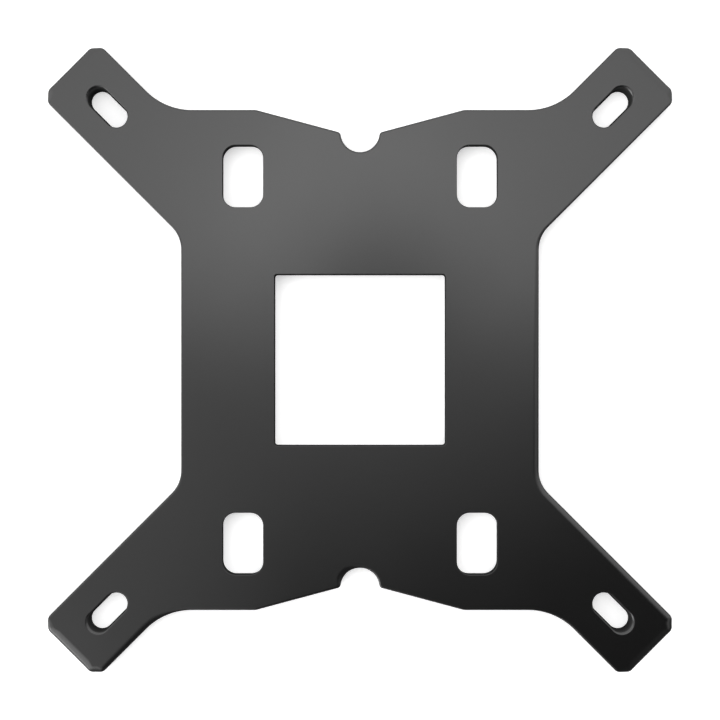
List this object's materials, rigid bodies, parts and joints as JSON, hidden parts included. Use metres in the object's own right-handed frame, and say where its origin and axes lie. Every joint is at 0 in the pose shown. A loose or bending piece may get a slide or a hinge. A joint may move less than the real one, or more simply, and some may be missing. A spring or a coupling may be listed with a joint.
{
  "type": "cpu cooler socket adapter",
  "caption": "Flat black coated steel plate with slotted diagonal arms, upright slots, a square window and edge notches; it adapts a processor cooler to the hole squares round a socket.",
  "frame": {"origin": "middle of the flat back face, which lies on z = 0", "axes": "+Z out of the front face, +X across the plate between its straight sides, +Y up towards one of the notched edges; the arms lie on the diagonals"},
  "size_m": [0.096, 0.096, 0.0025],
  "materials": {
    "satin_black_coat": "satin black coat on steel"
  },
  "bodies": {
    "root": {"adapter_plate": "satin_black_coat"}
  },
  "joints": []
}
